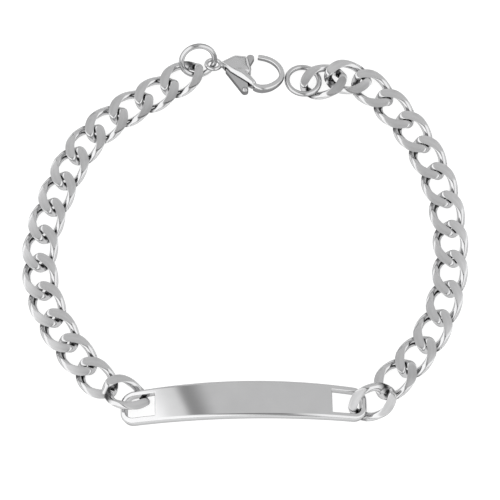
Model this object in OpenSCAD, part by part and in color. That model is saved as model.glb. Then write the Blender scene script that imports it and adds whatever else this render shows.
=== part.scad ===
// Identification bracelet of polished steel, lying unfastened on a table.
// An arched name plate with a slot at each end carries two runs of flat curb chain.
// The left run ends in a jump ring and a lever clasp, the right run in a plain end ring.
// Origin: under the middle of the bracelet, on the surface it lies on.
// +X runs along the plate, +Y from the plate toward the clasp, +Z up. Sizes in millimetres.

/* [Plate] */
// Length of the plate along its arch
plate_l = 40.6; // [40:0.1:41.2]
// Width of the plate at its middle
plate_w = 6.3; // [6.1:0.05:6.5]
// Width of the plate at its ends
plate_end_w = 5.6; // [5.5:0.05:5.7]
// Thickness of the plate
plate_t = 1.4; // [1.3:0.05:1.45]
// Rise of the arch from the ends to the middle
plate_rise = 3.6; // [3.5:0.05:3.7]
// Radius of the plate's corners
plate_corner = 2.2; // [1.8:0.1:2.4]
// Width of the metal between a slot and the plate's end
slot_bar = 0.92; // [0.8:0.02:0.94]
// Length of a slot along the plate
slot_l = 4.98; // [4.9:0.02:5.1]
// Width of a slot across the plate
slot_w = 4.2; // [4.1:0.05:4.3]
// Tilt of the plate's face toward the back, in degrees
plate_lean = 10; // [10:1:10]

/* [Chain] */
// Half length of a link's wire loop, to the middle of the wire
link_a = 3.38; // [3.36:0.01:3.4]
// Half width of a link's wire loop, to the middle of the wire
link_b = 2.3; // [2.28:0.01:2.32]
// Half thickness of a link between its two ground faces
link_h = 0.82; // [0.8:0.01:0.83]
// Twist of a link's end against its middle, in degrees
link_twist = 62; // [61:0.5:63]
// Half thickness of the wire across the chain's plane
wire_v = 0.7; // [0.68:0.01:0.71]
// Half width of the wire at a link's sides
wire_side = 0.68; // [0.66:0.01:0.69]
// Half width of the wire at a link's ends
wire_end = 0.64; // [0.62:0.01:0.65]
// Half width of the wire at its thickest, near the bends
wire_bend = 0.8; // [0.78:0.01:0.81]
// Distance from link to link in the left run
left_pitch = 5.02; // [5:0.01:5.04]
// Distance from link to link in the right run
right_pitch = 5.19; // [5.17:0.01:5.2]

/* [Rings] */
// Outer diameter of the jump ring
jump_ring_d = 6.54; // [6.5:0.02:6.56]
// Wire diameter of the jump ring
jump_wire_d = 0.84; // [0.8:0.02:0.86]
// Outer diameter of the end ring
end_ring_d = 6.4; // [6.36:0.02:6.42]
// Wire diameter of the end ring
end_wire_d = 0.9; // [0.86:0.02:0.92]

/* [Clasp] */
// Thickness of the clasp's body
clasp_t = 2.7; // [2.6:0.05:2.8]
// Thickness of the lever
lever_t = 0.8; // [0.7:0.05:0.85]
// Clear space above and below the lever in its slot
lever_gap = 0.1; // [0.08:0.01:0.15]
// Diameter of the pin that the lever turns on
pin_d = 0.7; // [0.6:0.05:0.8]
// Radial running clearance of the lever on its pin
pin_gap = 0.05; // [0.03:0.01:0.08]
// Outer diameter of the eye at the clasp's tail
eye_d = 3.08; // [3.04:0.02:3.1]
// Wire diameter of the eye
eye_wire_d = 0.68; // [0.64:0.02:0.7]

/* [Hidden] */

// The places below are measured from a point near the middle of the loop;
// this moves them so that the whole bracelet is centred on the origin.
middle = [0.777, -2.208, 0];

// Where each piece lies: position, then heading, pitch and roll in degrees.
// A heading points along the chain, away from the plate.
plate_place = [-1.03, -27.46, 1.01, 1.1, 0, -plate_lean];
// The two links at each slot are lifted by the plate's end and hang tipped in it.
left_tipped = [
    [-20.07, -25.27, 2.07, 159.32, -11.45, 19.16],
    [-25.07, -22.47, 0.92, 132.18, 1.31, 0.82]];
right_tipped = [
    [19.94, -26.62, 1.88, 19.67, -11.35, 15.24],
    [23.76, -22.39, 0.9, 44.05, -0.65, 0.87]];
// The last two links of the right run are piled up at the end ring.
right_piled = [
    [16.65, 30.41, 1.27, 172.47, -7.34, -4.0],
    [12.46, 29.67, 1.35, 194.05, 0.85, -9.69]];
end_ring_place = [9.03, 29.87, 1.18, 11.1, 7.64, -11.94];
jump_ring_place = [-8.82, 32.87, 2.83, 184.4, -10.83, -53.45];
// The clasp lies tipped, its front edge raised. Its place is that of the lever's pin.
clasp_place = [-1.46, 31.14, 1.88, -10.5, -2, -20];

// The rest of the chain lies flat. Its route starts at a link by the plate and turns from
// link to link: [number of links, turn of each in degrees].
left_start = [-21.77, -25.96, 133.24];
left_bends = [[1, -1], [1, -3], [1, -8], [1, -11], [1, -12], [1, -14], [1, -11], [1, -4], [1, -5],
    [1, -11], [1, -14], [1, -8], [1, 0], [1, 4]];
right_start = [19.99, -26.04, 41.88];
right_bends = [[2, 4.4], [3, 11], [2, 7.4], [5, 8]];

function turns(bends) = [for (b = bends) for (i = [1 : b[0]]) b[1]];
function heading(start, turn, i) = i == 0 ? start[2] : heading(start, turn, i - 1) + turn[i - 1];
function spot(start, turn, pitch, i) = i == 0 ? [start[0], start[1]]
    : let (m = (heading(start, turn, i - 1) + heading(start, turn, i)) / 2)
      spot(start, turn, pitch, i - 1) + pitch * [cos(m), sin(m)];
function flat_place(start, bends, pitch, i) =
    let (t = turns(bends), p = spot(start, t, pitch, i))
    [p[0], p[1], link_h, heading(start, t, i), 0, 0];
function left_place(n) = n <= 2 ? left_tipped[n - 1]
    : flat_place(left_start, left_bends, left_pitch, n - 1);
function right_place(n) = n <= 2 ? right_tipped[n - 1]
    : n >= 14 ? right_piled[n - 14]
    : flat_place(right_start, right_bends, right_pitch, n - 1);

module put(p) translate(middle + [p[0], p[1], p[2]]) rotate([p[5], p[4], p[3]]) children();

// One curb link: a round-ended loop of wire, twisted end against end and ground flat on
// both faces. The loop is cut into stations with a ring of wire points at each.
stations = 16;
wire_sides = 6;
loop_power = 2.8;
twist_power = 1.3;
bend_at = 0.72;
bend_spread = 0.42;
function power(v, p) = sign(v) * pow(abs(v), p);
function loop_point(t) =
    let (x = link_a * power(cos(t), 2 / loop_power),
         y = link_b * power(sin(t), 2 / loop_power),
         w = -link_twist * sign(x) * pow(abs(x / link_a), twist_power))
    [x, y * cos(w), y * sin(w)];
function wire_half(x) =
    let (u = abs(x) / link_a, e = pow(u, 6), k = (u - bend_at) / bend_spread,
         swell = max(0, 1 - k * k), plain = wire_side * (1 - e) + wire_end * e)
    plain + (wire_bend - plain) * swell;
fine = [for (i = [0 : 360]) loop_point(i)];
along = [for (i = 0, s = 0; i <= 360; s = s + (i < 360 ? norm(fine[i + 1] - fine[i]) : 0), i = i + 1)
    [s, i]];
loop_l = along[360][0];
function station(i) = lookup((i + 0.5) / stations * loop_l, along);
function unit(v) = v / norm(v);
function clip(z) = max(-link_h, min(link_h, z));
function wire_ring(i) =
    let (t = station(i), p = loop_point(t),
         d = unit(loop_point(t + 0.05) - loop_point(t - 0.05)),
         u = unit(cross(d, [0, 0, 1])), v = cross(u, d), r = wire_half(p[0]))
    [for (k = [0 : wire_sides - 1])
        let (q = p + r * cos(k * 360 / wire_sides) * u + wire_v * sin(k * 360 / wire_sides) * v)
        [q[0], q[1], clip(q[2])]];
link_points = [for (i = [0 : stations - 1]) each wire_ring(i)];
function corner(i, k) = (i % stations) * wire_sides + (k % wire_sides);
link_faces = [for (i = [0 : stations - 1]) for (k = [0 : wire_sides - 1]) each [
    [corner(i, k), corner(i + 1, k + 1), corner(i + 1, k)],
    [corner(i, k), corner(i, k + 1), corner(i + 1, k + 1)]]];

module curb_link() color([0.76, 0.76, 0.77]) polyhedron(link_points, link_faces, convexity = 6);
module link_left(n) put(left_place(n)) curb_link();
module link_right(n) put(right_place(n)) curb_link();

// Plate: a strip of an arched sheet, narrower at the ends, with rounded corners and a slot
// near each end. Slots and corners are cut square to the arched face.
arch_r = (pow(plate_l / 2, 2) + pow(plate_rise, 2)) / (2 * plate_rise);
end_turn = plate_l / 2 / arch_r * 180 / PI;
side_r = pow(plate_l / 2, 2) / (plate_w - plate_end_w);
slot_mid = plate_l / 2 - slot_bar - slot_l / 2;
slot_turn = slot_mid / arch_r * 180 / PI;
slot_corner = 1.4;

// Lays a shape that stands on the arch's top point at the given angle along the arch
module on_arch(turn) translate([0, 0, plate_rise - arch_r]) rotate([0, turn, 0])
    translate([0, 0, arch_r]) children();

module plate_blank() intersection() {
    translate([0, 0, plate_rise - arch_r]) rotate([90, 0, 0]) difference() {
        cylinder(r = arch_r + plate_t / 2, h = 10, center = true, $fn = 720);
        cylinder(r = arch_r - plate_t / 2, h = 12, center = true, $fn = 720);
    }
    translate([-plate_l / 2 - 1, -plate_w, -3]) cube([plate_l + 2, plate_w * 2, plate_rise + 6]);
    translate([0, plate_w / 2 - side_r, -4]) cylinder(r = side_r, h = plate_rise + 8, $fn = 2400);
    translate([0, side_r - plate_w / 2, -4]) cylinder(r = side_r, h = plate_rise + 8, $fn = 2400);
}

// What is cut away at a plate's end: everything past the end and outside the round corners
module end_cutter() linear_extrude(6, center = true) difference() {
    translate([-plate_corner, -6]) square([8, 12]);
    translate([-plate_corner - 1, plate_corner - plate_end_w / 2])
        square([plate_corner + 1, plate_end_w - 2 * plate_corner]);
    translate([-plate_corner - 1, -plate_end_w / 2 - 0.3]) square([1, plate_end_w + 0.6]);
    for (s = [1, -1]) translate([-plate_corner, s * (plate_end_w / 2 - plate_corner)])
        circle(plate_corner, $fn = 72);
}

// A slot: straight on the side toward the middle, rounded at the outer corners
module slot_cutter() linear_extrude(6, center = true) union() {
    translate([-slot_l / 2, -slot_w / 2]) square([slot_l - slot_corner, slot_w]);
    translate([-slot_l / 2, slot_corner - slot_w / 2])
        square([slot_l, slot_w - 2 * slot_corner]);
    for (s = [1, -1]) translate([slot_l / 2 - slot_corner, s * (slot_w / 2 - slot_corner)])
        circle(slot_corner, $fn = 48);
}

module id_plate() color([0.72, 0.72, 0.74]) put(plate_place) difference() {
    plate_blank();
    for (s = [0, 1]) mirror([s, 0, 0]) {
        on_arch(end_turn) end_cutter();
        on_arch(slot_turn) slot_cutter();
    }
}

// Rings of round wire, each with the fine seam where its ends meet
seam = 1.2;
module wire_hoop(d, wire) rotate([0, 0, 75]) rotate_extrude(angle = 360 - seam, $fn = 96)
    translate([(d - wire) / 2, 0]) circle(d = wire, $fn = 24);
module jump_ring() color([0.74, 0.74, 0.75]) put(jump_ring_place) wire_hoop(jump_ring_d, jump_wire_d);
module end_ring() color([0.74, 0.74, 0.75]) put(end_ring_place) wire_hoop(end_ring_d, end_wire_d);

// Clasp, in its own frame: the pin stands at the middle, +X runs from the eye toward the
// hook's bend, +Y to the side that the hook closes on.
// Rounded masses of the body: [x, y, radius, half height]
top_lobe = [-0.75, 2.3, 0.92, 1];
side_lobe = [-0.05, 2, 0.98, 1];
belly = [0.3, 0.2, 1.5, clasp_t / 2];
tail = [-3.2, 1.05, 0.6, 0.75];
low_left = [-1.5, -0.2, 0.75, 1.05];
low_mid = [0.5, -0.9, 1, 1.2];
hook_root = [2.4, -2.35, 0.65, 1];
// Middle line of the hook from its root to its tip: [x, y, width, height]
hook_line = [
    [2.75, -2.8, 0.95, 1.5], [3.3, -3.02, 1.08, 1.5], [4.2, -3, 1.2, 1.42], [5.4, -2.4, 1.16, 1.3],
    [6.4, -1.2, 1.04, 1.15], [6.85, 0.1, 0.94, 1.05], [6.7, 1.3, 0.92, 1], [5.95, 2.55, 0.93, 0.95],
    [4.7, 3.5, 0.94, 0.9], [3.4, 3.88, 0.93, 0.88], [2.15, 3.92, 0.88, 0.85]];
// Discs that the lever's outline is drawn around: [x, y, radius]
lever_hub = [0, 0, 0.8];
lever_nose = [0.95, 3.3, 0.62];
lever_heel = [-2.3, -0.35, 0.35];
lever_thumb = [1.35, -4.05, 0.6];
thumb_h = 1.5;
eye_at = [-5, 0.75];
// Turn of the eye about the clasp's length, in degrees
eye_turn = -6;
pin_l = 2.2;

module clasp_put() put(clasp_place) children();

module pebble(m) translate([m[0], m[1], 0]) scale([1, 1, m[3] / m[2]]) sphere(m[2], $fn = 28);

module disc(d, h) translate([d[0], d[1], -h / 2]) cylinder(r = d[2], h = h, $fn = 48);

// Clear space between the two cheeks: open at the front and at the nose, closed by the
// tail, by a wall at the back and by the root of the hook
module lever_space() linear_extrude(lever_t + 2 * lever_gap, center = true) difference() {
    translate([-2.85, -6]) square([9, 12]);
    polygon([[1.25, -0.6], [2.1, -3.5], [8, -3.5], [8, -0.6]]);
    polygon([[-2.7, 2], [-0.55, 2], [-0.2, 4], [-2.7, 4]]);
}

// The hook as a swept bar, a ring of eight points at each station along its middle line
function curve(a, b, c, d, t) = 0.5 * (2 * b + (c - a) * t + (2 * a - 5 * b + 4 * c - d) * t * t
    + (3 * b - a - 3 * c + d) * t * t * t);
hook_n = len(hook_line);
function hook_at(i, t) = curve(hook_line[max(i - 1, 0)], hook_line[i], hook_line[i + 1],
    hook_line[min(i + 2, hook_n - 1)], t);
hook_steps = 3;
hook_stations = [for (i = [0 : hook_n - 2]) for (k = [0 : hook_steps - 1]) hook_at(i, k / hook_steps),
    hook_line[hook_n - 1]];
hook_m = len(hook_stations);
function hook_side(i) =
    let (a = hook_stations[max(i - 1, 0)], b = hook_stations[min(i + 1, hook_m - 1)],
         d = unit([b[0] - a[0], b[1] - a[1]])) [-d[1], d[0]];
bar_form = [[0.5, 0.28], [0.3, 0.5], [-0.3, 0.5], [-0.5, 0.28],
    [-0.5, -0.28], [-0.3, -0.5], [0.3, -0.5], [0.5, -0.28]];
hook_points = [for (i = [0 : hook_m - 1]) let (s = hook_stations[i], e = hook_side(i))
    for (f = bar_form) [s[0] + e[0] * f[0] * s[2], s[1] + e[1] * f[0] * s[2], f[1] * s[3]]];
hook_faces = concat(
    [for (i = [0 : hook_m - 2]) for (k = [0 : 7]) let (a = i * 8 + k, b = i * 8 + (k + 1) % 8) each [
        [a, b + 8, b], [a, a + 8, b + 8]]],
    [for (k = [1 : 6]) [0, k, k + 1]],
    [for (k = [1 : 6]) let (z = (hook_m - 1) * 8) [z, z + k + 1, z + k]]);
module hook_bar() polyhedron(hook_points, hook_faces, convexity = 4);

module clasp_body() color([0.75, 0.75, 0.76]) clasp_put() {
    difference() {
        union() {
            hull() { pebble(tail); pebble(top_lobe); pebble(side_lobe); pebble(belly); pebble(low_left); }
            hull() { pebble(low_left); pebble(low_mid); pebble(hook_root); }
        }
        lever_space();
        cylinder(d = pin_d + 0.04, h = pin_l + 0.04, center = true, $fn = 48);
    }
    hook_bar();
    translate([eye_at[0], eye_at[1], 0]) rotate([eye_turn, 0, 0]) rotate_extrude($fn = 72)
        translate([(eye_d - eye_wire_d) / 2, 0]) circle(d = eye_wire_d, $fn = 24);
    translate([eye_at[0] + eye_d / 2 - 0.3, eye_at[1] + 0.05, 0]) rotate([0, 90, 8])
        cylinder(r1 = 0.36, r2 = 0.52, h = 1, $fn = 32);
}

module clasp_lever() color([0.68, 0.68, 0.7]) clasp_put() {
    difference() {
        union() {
            hull() { disc(lever_hub, lever_t); disc(lever_nose, lever_t); }
            hull() { disc(lever_hub, lever_t); disc(lever_heel, lever_t); disc(lever_thumb, lever_t); }
        }
        cylinder(d = pin_d + 2 * pin_gap, h = lever_t + 1, center = true, $fn = 48);
    }
    disc(lever_thumb, thumb_h);
}

module clasp_pin() color([0.6, 0.6, 0.62]) clasp_put()
    cylinder(d = pin_d, h = pin_l, center = true, $fn = 48);

id_plate();
link_left(1);  // link_left_01
link_left(2);  // link_left_02
link_left(3);  // link_left_03
link_left(4);  // link_left_04
link_left(5);  // link_left_05
link_left(6);  // link_left_06
link_left(7);  // link_left_07
link_left(8);  // link_left_08
link_left(9);  // link_left_09
link_left(10);  // link_left_10
link_left(11);  // link_left_11
link_left(12);  // link_left_12
link_left(13);  // link_left_13
link_left(14);  // link_left_14
link_left(15);  // link_left_15
link_right(1);  // link_right_01
link_right(2);  // link_right_02
link_right(3);  // link_right_03
link_right(4);  // link_right_04
link_right(5);  // link_right_05
link_right(6);  // link_right_06
link_right(7);  // link_right_07
link_right(8);  // link_right_08
link_right(9);  // link_right_09
link_right(10);  // link_right_10
link_right(11);  // link_right_11
link_right(12);  // link_right_12
link_right(13);  // link_right_13
link_right(14);  // link_right_14
link_right(15);  // link_right_15
jump_ring();
end_ring();
clasp_body();
clasp_lever();
clasp_pin();
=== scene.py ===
"""Identification bracelet of polished steel, lying unfastened on a pale table.

A blank arched name plate, two runs of ground curb chain, a jump ring, a lever clasp and an
end ring are modelled in millimetres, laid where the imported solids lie, and dressed.
"""
import logging
import math
from collections.abc import Callable
from dataclasses import dataclass, field
from enum import Enum

import bpy
from mathutils import Euler, Matrix, Vector


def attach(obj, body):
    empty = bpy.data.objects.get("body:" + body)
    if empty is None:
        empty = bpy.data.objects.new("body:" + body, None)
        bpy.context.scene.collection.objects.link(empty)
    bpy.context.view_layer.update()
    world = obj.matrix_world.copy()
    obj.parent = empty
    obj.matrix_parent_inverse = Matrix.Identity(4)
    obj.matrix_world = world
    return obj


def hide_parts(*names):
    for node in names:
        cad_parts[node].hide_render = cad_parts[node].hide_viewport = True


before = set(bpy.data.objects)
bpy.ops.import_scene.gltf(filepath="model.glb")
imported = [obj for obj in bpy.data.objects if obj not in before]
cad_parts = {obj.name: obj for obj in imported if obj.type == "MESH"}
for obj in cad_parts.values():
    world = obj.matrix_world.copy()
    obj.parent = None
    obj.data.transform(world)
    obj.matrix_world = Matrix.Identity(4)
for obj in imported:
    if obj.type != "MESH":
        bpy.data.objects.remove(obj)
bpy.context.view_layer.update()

LOG = logging.getLogger("bracelet")
# One millimetre in metres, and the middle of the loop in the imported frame, in millimetres.
MM = 0.001
MIDDLE = Vector((0.777, -2.208, 0.0))
# Height of the middle of a link that lies flat, which is half the height between its faces.
FLAT_HEIGHT = 0.82
# Distances under which corners are merged, in millimetres.
FINE_MERGE, COARSE_MERGE = 1e-5, 1e-4
BALL_SEGMENTS, DISC_SEGMENTS = 32, 48
# How far a wall turns from level, 0, to upright, 1, where its painted shade begins and is full.
WALL_START, WALL_END = 0.50, 0.95
WHITE = (1.0, 1.0, 1.0, 1.0)
# Near-black that the steel is mixed towards where shade is painted into recesses and walls.
SHADE_COLOUR = (0.07, 0.07, 0.072, 1.0)

EdgeTest = Callable[[Vector, Vector, list[Vector]], bool]
FaceTest = Callable[[bpy.types.MeshPolygon], bool]


def share_of(value: float, span: float) -> float:
    """Works out how much of a span a value covers.

    Args:
        value: How far it reaches into the span.
        span: The span's length.

    Returns:
        The share, kept between 0 and 1.
    """
    return min(1.0, max(0.0, value / span))


class Body(Enum):
    """Bodies of the bracelet that move on their own."""

    BRACELET = "bracelet"
    LEVER = "lever"


class Slot(Enum):
    """Material slots of the record."""

    PLATE = "plate"
    CHAIN = "chain"
    RINGS = "rings"
    CLASP = "clasp"
    LEVER = "clasp_lever"


@dataclass(frozen=True)
class Place:
    """Where a piece lies, in millimetres and degrees, from the middle of the loop."""

    x: float
    y: float
    z: float
    heading: float = 0.0
    pitch: float = 0.0
    roll: float = 0.0

    def matrix(self) -> Matrix:
        """Works out how to lay a piece that is modelled in millimetres.

        Returns:
            The matrix, in metres.
        """
        turn = Euler(tuple(math.radians(a) for a in (self.roll, self.pitch, self.heading)))
        spot = Matrix.Translation(MIDDLE + Vector((self.x, self.y, self.z)))
        return Matrix.Scale(MM, 4) @ spot @ turn.to_matrix().to_4x4()


class Bench:
    """Edit-mode steps shared by all the pieces."""

    @staticmethod
    def clear() -> None:
        """Leaves edit mode and deselects everything."""
        if bpy.context.object and bpy.context.object.mode != "OBJECT":
            bpy.ops.object.mode_set(mode="OBJECT")
        bpy.ops.object.select_all(action="DESELECT")

    @staticmethod
    def pick(*objects: bpy.types.Object) -> None:
        """Selects only these objects and makes the first one active.

        Args:
            *objects: The objects to select.
        """
        Bench.clear()
        for item in objects:
            item.select_set(True)
        bpy.context.view_layer.objects.active = objects[0]

    @staticmethod
    def open(piece: bpy.types.Object) -> None:
        """Opens a piece in edit mode with everything selected.

        Args:
            piece: The piece to edit.
        """
        Bench.pick(piece)
        bpy.ops.object.mode_set(mode="EDIT")
        bpy.ops.mesh.select_all(action="SELECT")

    @staticmethod
    def close() -> None:
        """Goes back to object mode."""
        bpy.ops.object.mode_set(mode="OBJECT")

    @staticmethod
    def edit_edges(piece: bpy.types.Object, test: EdgeTest) -> None:
        """Opens a piece in edge mode with the edges that a test accepts.

        Args:
            piece: The piece to edit.
            test: Takes the edge's two corner places and the normals of its faces.
        """
        mesh = piece.data
        beside: dict[tuple[int, int], list[Vector]] = {}
        for face in mesh.polygons:
            for key in face.edge_keys:
                beside.setdefault(key, []).append(face.normal.copy())
        for group in (mesh.polygons, mesh.edges, mesh.vertices):
            for part in group:
                part.select = False
        for edge in mesh.edges:
            a, b = (mesh.vertices[i].co for i in edge.vertices)
            if test(a, b, beside.get(edge.key, [])):
                edge.select = True
                for i in edge.vertices:
                    mesh.vertices[i].select = True
        Bench.pick(piece)
        bpy.context.tool_settings.mesh_select_mode = (False, True, False)
        bpy.ops.object.mode_set(mode="EDIT")

    @staticmethod
    def edit_faces(piece: bpy.types.Object, test: FaceTest) -> None:
        """Opens a piece in face mode with the faces that a test accepts.

        Args:
            piece: The piece to edit.
            test: Takes a face.
        """
        Bench.pick(piece)
        for group in (piece.data.edges, piece.data.vertices):
            for part in group:
                part.select = False
        for face in piece.data.polygons:
            face.select = bool(test(face))
        bpy.context.tool_settings.mesh_select_mode = (False, False, True)
        bpy.ops.object.mode_set(mode="EDIT")

    @staticmethod
    def outward(piece: bpy.types.Object, merge: float = FINE_MERGE) -> None:
        """Merges doubles and turns all the faces outward.

        Args:
            piece: The piece to clean.
            merge: Distance under which corners are merged.
        """
        Bench.open(piece)
        bpy.ops.mesh.remove_doubles(threshold=merge)
        bpy.ops.mesh.normals_make_consistent(inside=False)
        Bench.close()

    @staticmethod
    def paint_wall_shade(piece: bpy.types.Object) -> None:
        """Paints shade onto the walls of a piece, as a mask, by how far each point's surface is turned.

        Args:
            piece: The piece to mark.
        """
        deep = piece.data.attributes.new("shade_mask", "FLOAT", "POINT")
        for corner in piece.data.vertices:
            turn = 1.0 - abs(corner.normal.z)
            part = share_of(turn - WALL_START, WALL_END - WALL_START)
            deep.data[corner.index].value = part * part * (3 - 2 * part)

    @staticmethod
    def modifier(piece: bpy.types.Object, kind: str, **settings) -> None:
        """Adds a modifier and applies it.

        Args:
            piece: The piece to finish.
            kind: Blender's name of the modifier.
            **settings: Its settings.
        """
        Bench.pick(piece)
        bpy.ops.object.modifier_add(type=kind)
        added = piece.modifiers[-1]
        for name, value in settings.items():
            setattr(added, name, value)
        bpy.ops.object.modifier_apply(modifier=added.name)

    @staticmethod
    def combine(piece: bpy.types.Object, other: bpy.types.Object, how: str) -> None:
        """Cuts or joins a piece with another and removes the other.

        Args:
            piece: The piece that stays.
            other: The cutter or the mass to add.
            how: DIFFERENCE or UNION.
        """
        Bench.modifier(piece, "BOOLEAN", operation=how, object=other, solver="EXACT")
        bpy.data.objects.remove(other)

    @staticmethod
    def smooth(piece: bpy.types.Object, degrees: float) -> None:
        """Shades a piece smooth, but for its sharp edges.

        Args:
            piece: The piece to shade.
            degrees: The angle over which an edge stays sharp.
        """
        Bench.pick(piece)
        bpy.ops.object.shade_smooth_by_angle(angle=math.radians(degrees), keep_sharp_edges=True)

    @staticmethod
    def pebble(x: float, y: float, radius: float, half_height: float) -> bpy.types.Object:
        """Adds a flattened ball.

        Args:
            x: Place along the clasp.
            y: Place across the clasp.
            radius: Radius in the plan.
            half_height: Half its height.

        Returns:
            The new object.
        """
        Bench.clear()
        bpy.ops.mesh.primitive_uv_sphere_add(segments=BALL_SEGMENTS,
                                             ring_count=BALL_SEGMENTS // 2, radius=radius)
        ball = bpy.context.object
        flatten = Matrix.Diagonal((1, 1, half_height / radius, 1))
        ball.data.transform(Matrix.Translation((x, y, 0)) @ flatten)
        return ball

    @staticmethod
    def disc(x: float, y: float, radius: float, height: float) -> bpy.types.Object:
        """Adds an upright disc.

        Args:
            x: Place along the clasp.
            y: Place across the clasp.
            radius: Its radius.
            height: Its whole height.

        Returns:
            The new object.
        """
        Bench.clear()
        bpy.ops.mesh.primitive_cylinder_add(vertices=DISC_SEGMENTS, radius=radius, depth=height)
        bpy.context.object.data.transform(Matrix.Translation((x, y, 0)))
        return bpy.context.object

    @staticmethod
    def skin(*masses: bpy.types.Object) -> bpy.types.Object:
        """Joins masses and stretches one skin round them.

        Args:
            *masses: The masses to wrap.

        Returns:
            The wrapped object.
        """
        Bench.pick(*masses)
        if len(masses) > 1:
            bpy.ops.object.join()
        piece = bpy.context.object
        Bench.open(piece)
        bpy.ops.mesh.convex_hull(use_existing_faces=False, join_triangles=False)
        Bench.close()
        Bench.outward(piece, COARSE_MERGE)
        return piece


class Signal:
    """A shader socket that takes part in Python expressions."""

    def __init__(self, desk: "Desk", socket: bpy.types.NodeSocket) -> None:
        """Keeps a socket.

        Args:
            desk: The desk that it was made at.
            socket: The output socket.
        """
        self.desk = desk
        self.socket = socket

    def _maths(self, operation: str, first: object, second: object) -> "Signal":
        """Adds one Math node.

        Args:
            operation: Blender's name of the operation.
            first: A number or a signal.
            second: A number or a signal.

        Returns:
            The result.
        """
        node = self.desk.node("ShaderNodeMath", {"operation": operation}, {0: first, 1: second})
        return Signal(self.desk, node.outputs[0])

    def __add__(self, other: object) -> "Signal":
        """Adds.

        Args:
            other: A number or a signal.

        Returns:
            The sum.
        """
        return self._maths("ADD", self, other)

    def __radd__(self, other: object) -> "Signal":
        """Adds this to a number.

        Args:
            other: The number.

        Returns:
            The sum.
        """
        return self._maths("ADD", other, self)

    def __sub__(self, other: object) -> "Signal":
        """Subtracts.

        Args:
            other: A number or a signal.

        Returns:
            The difference.
        """
        return self._maths("SUBTRACT", self, other)

    def __rsub__(self, other: object) -> "Signal":
        """Subtracts this from a number.

        Args:
            other: The number.

        Returns:
            The difference.
        """
        return self._maths("SUBTRACT", other, self)

    def __mul__(self, other: object) -> "Signal":
        """Multiplies.

        Args:
            other: A number or a signal.

        Returns:
            The product.
        """
        return self._maths("MULTIPLY", self, other)

    def __rmul__(self, other: object) -> "Signal":
        """Multiplies a number by this.

        Args:
            other: The number.

        Returns:
            The product.
        """
        return self._maths("MULTIPLY", other, self)


class Desk:
    """Builds the node tree of one material."""

    def __init__(self, tree: bpy.types.NodeTree) -> None:
        """Keeps a tree.

        Args:
            tree: The tree that nodes are added to.
        """
        self.tree = tree

    def node(self, kind: str, settings: dict | None = None,
             values: dict | None = None) -> bpy.types.Node:
        """Adds a node.

        Args:
            kind: The node's type.
            settings: Its own settings, set first.
            values: Numbers, colours or signals for its input sockets.

        Returns:
            The new node.
        """
        made = self.tree.nodes.new(kind)
        for name, value in (settings or {}).items():
            setattr(made, name, value)
        for key, value in (values or {}).items():
            if isinstance(value, Signal):
                self.tree.links.new(value.socket, made.inputs[key])
            else:
                made.inputs[key].default_value = value
        return made

    def signal(self, kind: str, out: str | int = 0, settings: dict | None = None,
               values: dict | None = None) -> Signal:
        """Adds a node and returns one of its outputs.

        Args:
            kind: The node's type.
            out: The output's name or number.
            settings: Its own settings.
            values: Its inputs.

        Returns:
            The output as a signal.
        """
        return Signal(self, self.node(kind, settings, values).outputs[out])

    def noise(self, place: Signal, scale: float, detail: float = 3.0) -> Signal:
        """Adds noise.

        Args:
            place: The coordinates that it is laid on.
            scale: Its scale.
            detail: Its octaves.

        Returns:
            Its level, about 0 to 1.
        """
        return self.signal("ShaderNodeTexNoise", "Fac", None,
                           {"Vector": place, "Scale": scale, "Detail": detail, "Roughness": 0.6})

    def blend(self, share: object, first: object, second: object) -> Signal:
        """Mixes two colours.

        Args:
            share: How much of the second there is, 0 to 1.
            first: A colour or a signal.
            second: A colour or a signal.

        Returns:
            The mixed colour.
        """
        return self.signal("ShaderNodeMix", 2, {"data_type": "RGBA"},
                           {0: share, 6: first, 7: second})

    def close(self, shader: bpy.types.Node, kind: str = "ShaderNodeOutputMaterial") -> None:
        """Links a shader to the tree's output.

        Args:
            shader: The shader node.
            kind: The output node's type.
        """
        self.tree.links.new(shader.outputs[0], self.node(kind).inputs[0])


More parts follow.
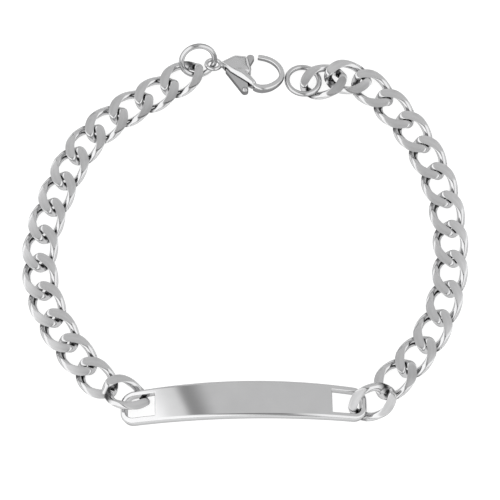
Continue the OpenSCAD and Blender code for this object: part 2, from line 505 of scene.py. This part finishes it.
@dataclass(frozen=True)
class Steel:
    """A finish of steel: polished, with satin where the attribute ground is set."""

    name: str
    colour: tuple[float, float, float] = (0.585, 0.585, 0.59)
    polish: float = 0.08
    satin: float = 0.26
    grain: float = 2600.0
    grain_depth: float = 0.10
    ground: bool = False
    # Strength of the painted shade that darkens recesses and walls towards the near-black.
    painted_shade: float = 0.0
    brim: float = 0.45
    brush: tuple[float, float, float] = (3.0, 10.0, 1.0)
    lines: tuple[float, float, float] = (1.0, 1.0, 1.0)
    smear_scale: float = 220.0
    smear_rough: float = 0.05
    smear_shade: float = 0.88
    hair_rough: float = 0.04
    streak_from: float = 0.36
    streak_gain: float = 2.6
    streak_shade: float = 0.80
    streak_depth: float = 0.9
    bump: float = 0.25
    bump_depth: float = 0.00002

    def shade(self, level: float) -> tuple[float, ...]:
        """Darkens the steel's colour.

        Args:
            level: 1 for the colour itself, 0 for black.

        Returns:
            The colour with its alpha.
        """
        return tuple(level * c for c in self.colour) + (1.0,)

    def make(self) -> bpy.types.Material:
        """Builds the material, with smears, hairline scratches and a satin grain.

        Returns:
            The material.
        """
        stuff = bpy.data.materials.new(self.name)
        stuff.use_nodes = True
        stuff.node_tree.nodes.clear()
        desk = Desk(stuff.node_tree)
        place = desk.signal("ShaderNodeTexCoord", "Object")
        lined = desk.signal("ShaderNodeMapping", "Vector", None,
                            {"Vector": place, "Scale": self.lines})
        smear = desk.noise(place, self.smear_scale, 2.0)
        hair = desk.noise(lined, self.grain, 4.0)
        rough = self.polish + self.smear_rough * smear + self.hair_rough * hair
        tint = desk.blend(smear, self.shade(1.0), self.shade(self.smear_shade))
        # Painted shade: the colour is mixed towards a near-black where the mask attribute marks recesses
        # and turned walls.
        if self.painted_shade > 0:
            deep = desk.signal("ShaderNodeAttribute", "Fac", {"attribute_name": "shade_mask"})
            tint = desk.blend(deep * self.painted_shade, tint, SHADE_COLOUR)
        if self.ground:
            mask = desk.signal("ShaderNodeAttribute", "Fac", {"attribute_name": "ground"})
            rough = rough + mask * (self.satin - self.polish)
            along = desk.signal("ShaderNodeMapping", "Vector", None, {
                "Vector": desk.signal("ShaderNodeTexCoord", "UV"), "Scale": self.brush})
            streak = desk.noise(along, 1.0)
            tint = desk.blend(mask * ((streak - self.streak_from) * self.streak_gain), tint,
                              self.shade(self.streak_shade))
            relief = (hair * (mask * 0.8 + 0.2) * self.grain_depth
                      + mask * (streak * self.streak_depth))
        else:
            relief = hair * self.grain_depth
        bump = desk.signal("ShaderNodeBump", "Normal", None, {
            "Strength": self.bump, "Distance": self.bump_depth, "Height": relief})
        shader = desk.node("ShaderNodeBsdfPrincipled", None, {
            "Base Color": tint, "Metallic": 1.0, "Roughness": rough, "Normal": bump,
            "Specular Tint": (self.brim, self.brim, self.brim, 1.0)})
        desk.close(shader)
        return stuff


def settle(piece: bpy.types.Object, name: str, place: Place, finish: bpy.types.Material,
           nodes: tuple[str, ...], body: Body = Body.BRACELET) -> None:
    """Lays a finished piece in its place, dresses it and joins it to its body.

    Args:
        piece: The modelled piece, in millimetres.
        name: Its name.
        place: Where it lies.
        finish: Its material.
        nodes: The solids that it stands for.
        body: The body that it rides on.
    """
    piece.name = name
    piece.data.name = name
    piece.data.transform(place.matrix())
    piece.data.materials.clear()
    piece.data.materials.append(finish)
    piece.data.update()
    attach(piece, body.value)
    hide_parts(*nodes)
    LOG.info("%s: %d faces", name, len(piece.data.polygons))


@dataclass
class CurbLink:
    """One curb link: a loop of wire twisted end against end and ground flat on both faces."""

    half_length: float = 3.38
    half_width: float = 2.30
    squareness: float = 2.8
    twist: float = 62.0
    twist_power: float = 1.3
    half_height: float = FLAT_HEIGHT
    wire_rise: float = 0.70
    wire_side: float = 0.68
    wire_end: float = 0.64
    wire_bend: float = 0.80
    bend_at: float = 0.72
    bend_reach: float = 0.42
    edge: float = 0.05
    crown: float = 0.30
    level: float = 0.985
    shade_from: float = 0.52
    shade_reach: float = 0.28
    shade_top: float = 0.74
    shade_rim: float = 0.1
    shade_fade: float = 0.4
    soften: int = 24
    stations: int = 132
    sides: int = 44
    mould: bpy.types.Object | None = None

    def middle(self, t: float) -> Vector:
        """Works out where the middle of the wire runs.

        Args:
            t: Turn round the loop, in radians.

        Returns:
            The place.
        """
        c, s = math.cos(t), math.sin(t)
        x = self.half_length * math.copysign(abs(c) ** (2 / self.squareness), c)
        y = self.half_width * math.copysign(abs(s) ** (2 / self.squareness), s)
        twisted = math.copysign(abs(x / self.half_length) ** self.twist_power, x)
        w = -math.radians(self.twist) * twisted
        return Vector((x, y * math.cos(w), y * math.sin(w)))

    def wire(self, x: float) -> float:
        """Works out the wire, which is broadest at the link's bends.

        Args:
            x: Place along the link.

        Returns:
            Half the wire's width there.
        """
        u = abs(x) / self.half_length
        plain = self.wire_side * (1 - u ** 6) + self.wire_end * u ** 6
        swell = max(0.0, 1 - ((u - self.bend_at) / self.bend_reach) ** 2)
        return plain + (self.wire_bend - plain) * swell

    def grind(self, height: float, y: float) -> float:
        """Grinds the wire to a crowned face that is rounded over at its rim.

        Args:
            height: Height before grinding.
            y: Place across the link.

        Returns:
            The height after grinding.
        """
        face = self.half_height - self.crown * (y / (self.half_width + self.wire_side)) ** 2
        k = (height - face) / self.edge
        far_below = -20.0
        if k < far_below:
            return height
        return face - self.edge * math.log1p(math.exp(-k))

    def even_turns(self) -> list[float]:
        """Divides the loop into even lengths.

        Returns:
            The turn at each division.
        """
        fine = 2880
        run = [0.0]
        last = self.middle(0.0)
        for i in range(1, fine + 1):
            here = self.middle(2 * math.pi * i / fine)
            run.append(run[-1] + (here - last).length)
            last = here
        turns: list[float] = []
        k = 0
        for i in range(self.stations):
            goal = run[-1] * i / self.stations
            while run[k + 1] < goal:
                k += 1
            part = (goal - run[k]) / (run[k + 1] - run[k])
            turns.append(2 * math.pi * (k + part) / fine)
        return turns

    def cast(self) -> None:
        """Models the mould once, from a torus that is laid on the loop and ground flat."""
        ring, probe = 3.0, 2e-3
        Bench.clear()
        bpy.ops.mesh.primitive_torus_add(major_segments=self.stations, minor_segments=self.sides,
                                         major_radius=ring, minor_radius=self.wire_rise)
        link = bpy.context.object
        turns = self.even_turns()
        for corner in link.data.vertices:
            x, y, z = corner.co
            i = round(math.atan2(y, x) / (2 * math.pi) * self.stations) % self.stations
            b = math.atan2(z, math.hypot(x, y) - ring)
            t = turns[i]
            spot = self.middle(t)
            along = (self.middle(t + probe) - self.middle(t - probe)).normalized()
            out = along.cross(Vector((0, 0, 1))).normalized()
            up = out.cross(along)
            place = (spot + out * (self.wire(spot.x) * math.cos(b))
                     + up * (self.wire_rise * math.sin(b)))
            height = math.copysign(self.grind(abs(place.z), place.y), place.z)
            corner.co = (place.x, place.y, height)
        Bench.outward(link, COARSE_MERGE)
        Bench.modifier(link, "SMOOTH", factor=0.5, iterations=self.soften)
        Bench.smooth(link, 60.0)
        self.mark(link)
        self.mould = link

    def mark(self, link: bpy.types.Object) -> None:
        """Marks the ground faces, and with painted shade the low parts of the wire near the link's ends,
        under the facets.

        Args:
            link: The modelled link.
        """
        flat = self.half_height - self.crown - 2 * self.edge
        ground = link.data.attributes.new("ground", "FLOAT", "FACE")
        for face in link.data.polygons:
            is_ground = abs(face.normal.z) > self.level and abs(face.center.z) > flat
            ground.data[face.index].value = float(is_ground)
        # Painted shade: the low wire near the link's ends, which lies in shade under the facets, is
        # marked to be darkened.
        deep = link.data.attributes.new("shade_mask", "FLOAT", "POINT")
        for corner in link.data.vertices:
            x, _, z = corner.co
            far = share_of(abs(x) / self.half_length - self.shade_from, self.shade_reach)
            low = share_of(self.shade_top - z, self.shade_fade)
            inner = share_of(self.half_length + self.shade_rim - abs(x), self.shade_fade)
            deep.data[corner.index].value = far * low * inner

    def lay(self, name: str, node: str, place: Place, finish: bpy.types.Material) -> None:
        """Lays one copy of the link, with its own mesh.

        Args:
            name: The copy's name.
            node: The solid that it stands for.
            place: Where it lies.
            finish: Its material.
        """
        if self.mould is None:
            self.cast()
        copy = bpy.data.objects.new(name, self.mould.data.copy())
        bpy.context.collection.objects.link(copy)
        settle(copy, name, place, finish, (node,))

    def drop(self) -> None:
        """Removes the mould."""
        if self.mould is not None:
            bpy.data.objects.remove(self.mould)
            self.mould = None


@dataclass
class ChainRun:
    """A run of links that starts by the plate and turns from link to link."""

    side: str
    start: tuple[float, float, float]
    turns: tuple[float, ...]
    step: float
    tipped: dict[int, Place] = field(default_factory=dict)
    count: int = 15

    def places(self) -> list[Place]:
        """Works out where each link lies, from the plate outward.

        Returns:
            The places, with the tipped ones put in.
        """
        x, y, heading = self.start
        flat = [Place(x, y, FLAT_HEIGHT, heading)]
        for turn in self.turns:
            way = math.radians(heading + turn / 2)
            x, y = x + self.step * math.cos(way), y + self.step * math.sin(way)
            heading += turn
            flat.append(Place(x, y, FLAT_HEIGHT, heading))
        return [self.tipped.get(i + 1) or flat[i] for i in range(self.count)]

    def build(self, link: CurbLink, finish: bpy.types.Material) -> None:
        """Lays the run's links.

        Args:
            link: The link that is copied.
            finish: Its material.
        """
        for i, place in enumerate(self.places(), 1):
            link.lay(f"curb_{self.side}_{i:02d}", f"link_{self.side}_{i:02d}", place, finish)


@dataclass
class NamePlate:
    """The blank plate: a strip on an arch, narrower at its ends, with a slot near each end."""

    length: float = 40.6
    width: float = 6.3
    end_width: float = 5.6
    thick: float = 1.4
    rise: float = 3.6
    corner: float = 2.2
    bar: float = 0.92
    slot_length: float = 4.98
    slot_width: float = 4.2
    slot_corner: float = 1.4
    edge: float = 0.45
    foot_edge: float = 0.10
    slot_edge: float = 0.16
    crown: float = 0.09
    corner_steps: int = 12
    face_inset: float = 0.04
    columns: int = 90
    side_rows: int = 3
    row_step: float = 0.8
    place: Place = Place(-1.03, -27.46, 1.01, 1.1, 0.0, -10.0)

    def block(self, x: float, size: tuple[float, float, float], corner: float,
              where: Callable[[Vector], bool]) -> bpy.types.Object:
        """Adds a block with some of its upright edges rounded.

        Args:
            x: Place of its middle along the plate.
            size: Its length, width and height.
            corner: Radius of the rounded edges.
            where: Takes a place and says whether the upright edge there is rounded.

        Returns:
            The block.
        """
        Bench.clear()
        bpy.ops.mesh.primitive_cube_add(size=1.0)
        made = bpy.context.object
        made.data.transform(Matrix.Translation((x, 0, 0)) @ Matrix.Diagonal(size + (1.0,)))
        Bench.edit_edges(made, lambda a, b, near: abs(a.z - b.z) > 0.1 and where(a))
        bpy.ops.mesh.bevel(offset=corner, offset_type="OFFSET", segments=self.corner_steps)
        Bench.close()
        return made

    def build(self, finish: bpy.types.Material) -> None:
        """Models and lays the plate.

        Args:
            finish: Its material.
        """
        plate = self.block(0, (self.length, self.width, self.thick), self.corner, lambda a: True)
        cutter_height = 4.0
        for side in (1, -1):
            middle = side * (self.length / 2 - self.bar - self.slot_length / 2)
            cut = self.block(middle, (self.slot_length, self.slot_width, cutter_height),
                             self.slot_corner, lambda a, s=side: a.x * s > abs(middle))
            Bench.combine(plate, cut, "DIFFERENCE")
        Bench.outward(plate)
        self.round_rims(plate)
        Bench.edit_faces(plate, lambda face: abs(face.normal.z) > 0.999)
        bpy.ops.mesh.inset(thickness=self.face_inset, depth=0.0, use_boundary=True)
        Bench.close()
        self.divide(plate)
        bow = ((self.length / 2) ** 2 + self.rise ** 2) / (2 * self.rise)
        for corner in plate.data.vertices:
            x, y, z = corner.co
            taper = 1 + (self.end_width / self.width - 1) * (2 * x / self.length) ** 2
            turn = x / bow
            z -= self.crown * (2 * y / self.width) ** 2 * (z > 0)
            corner.co = ((bow + z) * math.sin(turn), y * taper,
                         (bow + z) * math.cos(turn) - bow + self.rise)
        Bench.outward(plate)
        Bench.smooth(plate, 40.0)
        settle(plate, "name_plate", self.place, finish, ("id_plate",))

    def round_rims(self, plate: bpy.types.Object) -> None:
        """Rounds the rims of the flat plate, the upper outer one most.

        Args:
            plate: The plate before it is bent.
        """
        beside_slot = self.slot_width / 2 + 0.05
        beyond_slot = self.length / 2 - self.bar + 0.02
        flat = self.thick / 2 - 1e-3

        def rim(a: Vector, b: Vector, near: list[Vector]) -> bool:
            """Says whether an edge lies between a face and a wall.

            Args:
                a: One end of the edge.
                b: Its other end.
                near: The normals of its faces.

            Returns:
                Whether it does.
            """
            return (min(abs(a.z), abs(b.z)) > flat and a.z * b.z > 0 and len(near) == 2
                    and sum(abs(n.z) > 0.99 for n in near) == 1)

        def outer(p: Vector) -> bool:
            """Says whether a place is on the plate's outline.

            Args:
                p: The place.

            Returns:
                Whether it is.
            """
            return abs(p.y) > beside_slot or abs(p.x) > beyond_slot

        for offset, wanted, up, segments in (
                (self.edge, True, 1, 5), (self.foot_edge, True, -1, 3),
                (self.slot_edge, False, 1, 3), (self.slot_edge, False, -1, 3)):
            Bench.edit_edges(plate, lambda a, b, near: rim(a, b, near) and a.z * up > 0
                             and (outer(a) and outer(b)) == wanted)
            bpy.ops.mesh.bevel(offset=offset, offset_type="OFFSET", segments=segments, profile=0.5)
            Bench.close()

    def divide(self, plate: bpy.types.Object) -> None:
        """Cuts the plate into columns and rows, so that it can take its arch and crown.

        Args:
            plate: The plate before it is bent.
        """
        columns = [self.length * (i / self.columns - 0.5) + 0.003 for i in range(1, self.columns)]
        rows = [self.row_step * i + 0.002 for i in range(-self.side_rows, self.side_rows + 1)]
        planes = ([((x, 0, 0), (1, 0, 0)) for x in columns]
                  + [((0, y, 0), (0, 1, 0)) for y in rows])
        for spot, way in planes:
            Bench.open(plate)
            bpy.ops.mesh.bisect(plane_co=spot, plane_no=way, threshold=1e-6)
            Bench.close()


@dataclass
class WireRing:
    """A ring of round wire, closed all round.

    The solid has a fine seam where its ends meet. This ring has none: its sections are only
    spaced as if it had one, and it is closed across that narrow span.
    """

    name: str
    node: str
    across: float
    wire: float
    place: Place
    seam_at: float = 75.0
    seam: float = 1.2
    steps: int = 144
    sides: int = 24

    def build(self, finish: bpy.types.Material) -> None:
        """Models and lays the ring.

        Args:
            finish: Its material.
        """
        reach = (self.across - self.wire) / 2
        Bench.clear()
        bpy.ops.mesh.primitive_torus_add(major_segments=self.steps, minor_segments=self.sides,
                                         major_radius=reach, minor_radius=self.wire / 2)
        ring = bpy.context.object
        start, room = math.radians(self.seam_at), math.radians(self.seam)
        for corner in ring.data.vertices:
            x, y, z = corner.co
            i = round(math.atan2(y, x) / (2 * math.pi) * self.steps) % self.steps
            turn = start + (2 * math.pi - room) * i / (self.steps - 1)
            flat = math.hypot(x, y)
            corner.co = (flat * math.cos(turn), flat * math.sin(turn), z)
        Bench.outward(ring)
        Bench.smooth(ring, 40.0)
        # Painted shade on the ring's turned walls.
        Bench.paint_wall_shade(ring)
        settle(ring, self.name, self.place, finish, (self.node,))


@dataclass
class LeverClasp:
    """The clasp: a teardrop body with an eye and a hook, and a lever that closes the hook."""

    place: Place = Place(-1.46, 31.14, 1.88, -10.5, -2.0, -20.0)
    # Masses as x, y, radius and half height, and the lever's as x, y and radius.
    back: tuple[tuple[float, ...], ...] = (
        (-3.2, 1.05, 0.6, 0.75), (-1.4, 2.32, 0.95, 1.0), (-0.05, 2.42, 0.95, 1.05),
        (0.3, 0.2, 1.5, 1.35), (-1.5, -0.2, 0.75, 1.05))
    front: tuple[tuple[float, ...], ...] = (
        (-1.5, -0.2, 0.75, 1.05), (0.5, -0.9, 1.0, 1.2), (2.4, -2.35, 0.65, 1.0))
    nose: tuple[tuple[float, ...], ...] = ((0, 0, 0.8), (0.95, 3.3, 0.62))
    arm: tuple[tuple[float, ...], ...] = ((0, 0, 0.8), (-2.3, -0.35, 0.35), (1.35, -4.05, 0.6))
    thumb: tuple[float, ...] = (1.35, -4.05, 0.6, 0.75)
    lever_thick: float = 0.8
    lever_gap: float = 0.1
    pin: float = 0.7
    pin_gap: float = 0.05
    eye: float = 3.08
    eye_wire: float = 0.68
    eye_turn: float = -6.0
    eye_at: tuple[float, float] = (-5.0, 0.75)
    neck_y: float = 0.85
    neck_turn: float = 8.0
    neck_overlap: float = 0.2
    neck_radii: tuple[float, float] = (0.36, 0.52)
    neck_length: float = 1.0
    pin_seat: float = 0.02
    pin_length: float = 2.24
    lever_edge: float = 0.12
    body_voxel: float = 0.08
    soften: int = 30
    last_voxel: float = 0.06
    last_soften: int = 10
    hook_square: float = 0.62
    # The hook's middle line as x, y, width and height.
    hook_line: tuple[tuple[float, float, float, float], ...] = (
        (2.75, -2.8, 0.95, 1.5), (3.3, -3.02, 1.08, 1.5), (4.2, -3.0, 1.2, 1.42), (5.4, -2.4, 1.16, 1.3),
        (6.4, -1.2, 1.04, 1.15), (6.85, 0.1, 0.94, 1.05), (6.7, 1.3, 0.92, 1.0), (5.95, 2.55, 0.93, 0.95),
        (4.7, 3.5, 0.94, 0.9), (3.4, 3.88, 0.93, 0.88), (2.15, 3.92, 0.88, 0.85))

    def prism(self, low: tuple[float, float], high: tuple[float, float],
              y_low: float, y_high: float, height: float) -> bpy.types.Object:
        """Adds an upright block with four corners.

        Args:
            low: Left and right ends of its front side.
            high: Left and right ends of its back side.
            y_low: Place of the front side.
            y_high: Place of the back side.
            height: Its whole height.

        Returns:
            The block.
        """
        Bench.clear()
        bpy.ops.mesh.primitive_cube_add(size=1.0)
        block = bpy.context.object
        for corner in block.data.vertices:
            x, y, z = corner.co
            row = high if y > 0 else low
            corner.co = (row[0] if x < 0 else row[1], y_high if y > 0 else y_low, z * height)
        return block

    def space(self) -> bpy.types.Object:
        """Models the clear space between the cheeks, but for the hook's root and the back's rim.

        Returns:
            The space, as a cutter.
        """
        height = self.lever_thick + 2 * self.lever_gap
        room = self.prism((-2.85, 6.15), (-2.85, 6.15), -6.0, 6.0, height)
        hook_root = self.prism((2.1, 8.0), (1.25, 8.0), -3.5, -0.6, 3.0)
        Bench.combine(room, hook_root, "DIFFERENCE")
        back_rim = self.prism((-2.95, -0.55), (-2.95, -0.2), 2.0, 4.0, 3.0)
        Bench.combine(room, back_rim, "DIFFERENCE")
        return room

    def hook(self) -> bpy.types.Object:
        """Models the hook, a bar of rounded section swept along a smooth line through its points.

        Returns:
            The hook.
        """
        line = self.hook_line
        stations: list[tuple[float, ...]] = []
        steps = 8
        for i in range(len(line) - 1):
            a, b, c, d = line[max(i - 1, 0)], line[i], line[i + 1], line[min(i + 2, len(line) - 1)]
            for k in range(steps):
                t = k / steps
                stations.append(tuple(0.5 * (2 * q + (r - p) * t + (2 * p - 5 * q + 4 * r - s) * t * t
                                             + (3 * q - p - 3 * r + s) * t ** 3)
                                      for p, q, r, s in zip(a, b, c, d)))
        stations.append(line[-1])
        around = 20
        Bench.clear()
        bpy.ops.mesh.primitive_grid_add(x_subdivisions=len(stations) - 1,
                                        y_subdivisions=around, size=2)
        bar = bpy.context.object
        last = len(stations) - 1
        for corner in bar.data.vertices:
            i = round((corner.co.x + 1) / 2 * last)
            turn = (corner.co.y + 1) * math.pi
            x, y, wide, high = stations[i]
            p, q = stations[max(i - 1, 0)], stations[min(i + 1, last)]
            way = Vector((q[0] - p[0], q[1] - p[1])).normalized()
            c, s = math.cos(turn), math.sin(turn)
            across = wide / 2 * math.copysign(abs(c) ** self.hook_square, c)
            up = high / 2 * math.copysign(abs(s) ** self.hook_square, s)
            corner.co = (x - way.y * across, y + way.x * across, up)
        Bench.open(bar)
        bpy.ops.mesh.remove_doubles(threshold=COARSE_MERGE)
        bpy.ops.mesh.fill_holes(sides=0)
        bpy.ops.mesh.normals_make_consistent(inside=False)
        Bench.close()
        return bar

    def build_body(self, finish: bpy.types.Material) -> None:
        """Models and lays the body with its eye and hook.

        Args:
            finish: Its material.
        """
        body = Bench.skin(*(Bench.pebble(*mass) for mass in self.back))
        front = Bench.skin(*(Bench.pebble(*mass) for mass in self.front))
        Bench.clear()
        bpy.ops.mesh.primitive_torus_add(major_segments=72, minor_segments=20,
                                         major_radius=(self.eye - self.eye_wire) / 2,
                                         minor_radius=self.eye_wire / 2)
        eye = bpy.context.object
        eye.data.transform(Matrix.Translation(self.eye_at + (0.0,))
                           @ Matrix.Rotation(math.radians(self.eye_turn), 4, "X"))
        Bench.clear()
        bpy.ops.mesh.primitive_cone_add(vertices=32, radius1=self.neck_radii[0],
                                        radius2=self.neck_radii[1], depth=self.neck_length)
        neck = bpy.context.object
        neck_x = self.eye_at[0] + self.eye / 2 + self.neck_overlap
        neck.data.transform(Matrix.Translation((neck_x, self.neck_y, 0))
                            @ Matrix.Rotation(math.radians(self.neck_turn), 4, "Z")
                            @ Matrix.Rotation(math.radians(90), 4, "Y"))
        Bench.combine(body, front, "UNION")
        Bench.modifier(body, "REMESH", mode="VOXEL", voxel_size=self.body_voxel)
        Bench.modifier(body, "SMOOTH", factor=0.5, iterations=self.soften)
        Bench.combine(body, self.space(), "DIFFERENCE")
        for other in (self.hook(), neck, eye):
            Bench.combine(body, other, "UNION")
        Bench.modifier(body, "REMESH", mode="VOXEL", voxel_size=self.last_voxel)
        Bench.modifier(body, "SMOOTH", factor=0.5, iterations=self.last_soften)
        seat = Bench.disc(0, 0, self.pin / 2 + self.pin_seat, self.pin_length)
        Bench.combine(body, seat, "DIFFERENCE")
        Bench.outward(body, COARSE_MERGE)
        Bench.smooth(body, 35.0)
        # Painted shade on the body's turned walls.
        Bench.paint_wall_shade(body)
        settle(body, "clasp_shell", self.place, finish, ("clasp_body",))

    def build_lever(self, finish: bpy.types.Material) -> None:
        """Models and lays the lever.

        Args:
            finish: Its material.
        """
        deep = self.lever_thick
        lever = Bench.skin(*(Bench.disc(*mass, deep) for mass in self.nose))
        Bench.combine(lever, Bench.skin(*(Bench.disc(*mass, deep) for mass in self.arm)), "UNION")
        Bench.modifier(lever, "BEVEL", width=self.lever_edge, segments=3, limit_method="ANGLE",
                       angle_limit=math.radians(50))
        Bench.combine(lever, Bench.pebble(*self.thumb), "UNION")
        Bench.combine(lever, Bench.disc(0, 0, self.pin / 2 + self.pin_gap, 3.0), "DIFFERENCE")
        Bench.outward(lever, COARSE_MERGE)
        Bench.smooth(lever, 35.0)
        # Painted shade on the lever's turned walls.
        Bench.paint_wall_shade(lever)
        settle(lever, "clasp_trigger", self.place, finish, ("clasp_lever",),
               Body.LEVER)


@dataclass(frozen=True)
class Glow:
    """A patch of the studio's sky, bounded along the axes of its directions.

    Each pair gives where the patch begins and where it is full. The end pairs bound it on its
    other side, and the slant leans its x bounds along y.
    """

    level: float
    x: tuple[float, float] | None = None
    y: tuple[float, float] | None = None
    z: tuple[float, float] | None = None
    x_end: tuple[float, float] | None = None
    y_end: tuple[float, float] | None = None
    slant: float = 0.0


@dataclass
class Studio:
    """Table, soft light all round, and camera."""

    elevation: float = 72.0
    distance: float = 416.67
    lens: float = 180.0
    sky: float = 0.84
    glows: tuple[Glow, ...] = (
        Glow(0.48, y=(-0.02, -0.22)),
        Glow(1.80, x=(-0.18, -0.42), y=(-0.02, -0.20)),
        Glow(0.16, y=(-0.16, -0.06), y_end=(0.20, 0.06), x_end=(0.70, 0.25)),
        Glow(0.40, x=(-0.155, -0.125), x_end=(0.02, -0.10), y=(0.10, 0.25), y_end=(0.90, 0.75),
             slant=0.33),
        Glow(1.50, x=(0.22, 0.42), y=(0.45, 0.25)),
        Glow(1.15, x=(-0.145, -0.17), slant=0.33),
        Glow(1.65, x=(-0.20, -0.33), slant=0.33),
        Glow(0.12, z=(0.17, 0.07)),
    )
    table_size: float = 6.0
    table_shade: float = 0.42
    table_glow: float = 0.74

    def floor(self) -> None:
        """Lays the table top."""
        Bench.clear()
        bpy.ops.mesh.primitive_plane_add(size=self.table_size)
        table = bpy.context.object
        table.name = "table_top"
        stuff = bpy.data.materials.new("pale_table")
        stuff.use_nodes = True
        stuff.node_tree.nodes.clear()
        desk = Desk(stuff.node_tree)
        place = desk.signal("ShaderNodeTexCoord", "Object")
        grain = desk.noise(place, 400.0)
        light, dark = (tuple([k * self.table_shade] * 3 + [1.0]) for k in (1.0, 0.98))
        tint = desk.blend(grain, light, dark)
        desk.close(desk.node("ShaderNodeBsdfPrincipled", None, {
            "Base Color": tint, "Roughness": 0.9, "Specular IOR Level": 0.0,
            "Emission Color": WHITE, "Emission Strength": self.table_glow}))
        table.data.materials.append(stuff)

    def light(self) -> None:
        """Sets the soft light that surrounds the table."""
        world = bpy.data.worlds.new("studio")
        bpy.context.scene.world = world
        world.use_nodes = True
        world.node_tree.nodes.clear()
        desk = Desk(world.node_tree)
        way = desk.node("ShaderNodeSeparateXYZ", None,
                        {0: desk.signal("ShaderNodeTexCoord", "Generated")})
        axes = [Signal(desk, out) for out in way.outputs]
        level: Signal | float = self.sky
        for glow in self.glows:
            share: Signal | float = 1.0
            across = axes[0] + axes[1] * glow.slant
            for axis, span in ((across, glow.x), (axes[1], glow.y), (axes[2], glow.z),
                               (across, glow.x_end), (axes[1], glow.y_end)):
                if span is not None:
                    part = desk.signal(
                        "ShaderNodeMapRange", 0, {"interpolation_type": "SMOOTHSTEP"},
                        {"Value": axis, "From Min": span[0], "From Max": span[1]})
                    share = part * share
            level = share * (glow.level - level) + level
        desk.close(desk.node("ShaderNodeBackground", None, {"Color": WHITE, "Strength": level}),
                   "ShaderNodeOutputWorld")

    def camera(self) -> None:
        """Sets the camera at the photographed angle."""
        lens = bpy.data.cameras.new("camera")
        lens.lens, lens.sensor_width = self.lens, 36.0
        lens.clip_start, lens.clip_end = 0.01, 20.0
        eye = bpy.data.objects.new("camera", lens)
        bpy.context.collection.objects.link(eye)
        rise = math.radians(self.elevation)
        aim = Vector((MIDDLE.x, MIDDLE.y, 0)) * MM
        eye.location = aim + Vector((0, -math.cos(rise), math.sin(rise))) * self.distance * MM
        eye.rotation_euler = (math.radians(90 - self.elevation), 0, 0)
        bpy.context.scene.camera = eye

    def build(self) -> None:
        """Sets the whole studio."""
        self.floor()
        self.light()
        self.camera()
        bpy.context.scene.view_settings.view_transform = "Standard"


def main() -> None:
    """Builds the bracelet and its studio."""
    logging.basicConfig(level=logging.INFO)
    # Chain, wire, cast and trigger steels darken their recesses and walls with painted shade.
    chain = Steel("curb_steel", ground=True, painted_shade=1.0, colour=(0.60, 0.60, 0.605)).make()
    plate = Steel("plate_steel", polish=0.05, grain=900.0, grain_depth=0.05,
                  lines=(0.2, 1.0, 1.0), colour=(0.61, 0.61, 0.615)).make()
    wire = Steel("wire_steel", polish=0.12, painted_shade=0.6, colour=(0.54, 0.54, 0.545)).make()
    cast = Steel("cast_steel", polish=0.13, grain=900.0, grain_depth=0.03, painted_shade=0.7,
                 colour=(0.60, 0.60, 0.605)).make()
    trigger = Steel("trigger_steel", polish=0.14, grain=900.0, grain_depth=0.03, painted_shade=0.8,
                    colour=(0.48, 0.48, 0.485)).make()
    pin = Steel("pin_steel", polish=0.3, colour=(0.5, 0.5, 0.51)).make()
    NamePlate().build(plate)
    link = CurbLink()
    ChainRun("left", (-21.77, -25.96, 133.24),
             (-1, -3, -8, -11, -12, -14, -11, -4, -5, -11, -14, -8, 0, 4), 5.02,
             {1: Place(-20.07, -25.27, 2.07, 159.32, -11.45, 19.16),
              2: Place(-25.07, -22.47, 0.92, 132.18, 1.31, 0.82)}).build(link, chain)
    ChainRun("right", (19.99, -26.04, 41.88),
             (4.4, 4.4, 11, 11, 11, 7.4, 7.4, 8, 8, 8, 8, 8), 5.19,
             {1: Place(19.94, -26.62, 1.88, 19.67, -11.35, 15.24),
              2: Place(23.76, -22.39, 0.90, 44.05, -0.65, 0.87),
              14: Place(16.65, 30.41, 1.27, 172.47, -7.34, -4.0),
              15: Place(12.46, 29.67, 1.35, 194.05, 0.85, -9.69)}).build(link, chain)
    link.drop()
    WireRing("joining_ring", "jump_ring", 6.6, 0.92,
             Place(-8.82, 32.87, 2.83, 184.4, -10.83, -53.45)).build(wire)
    WireRing("closing_ring", "end_ring", 6.4, 0.9,
             Place(9.03, 29.87, 1.18, 11.1, 7.64, -11.94)).build(wire)
    clasp = LeverClasp()
    clasp.build_body(cast)
    clasp.build_lever(trigger)
    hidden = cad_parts["clasp_pin"].data.materials
    hidden.clear()
    hidden.append(pin)
    Studio().build()


if __name__ == "__main__":
    main()
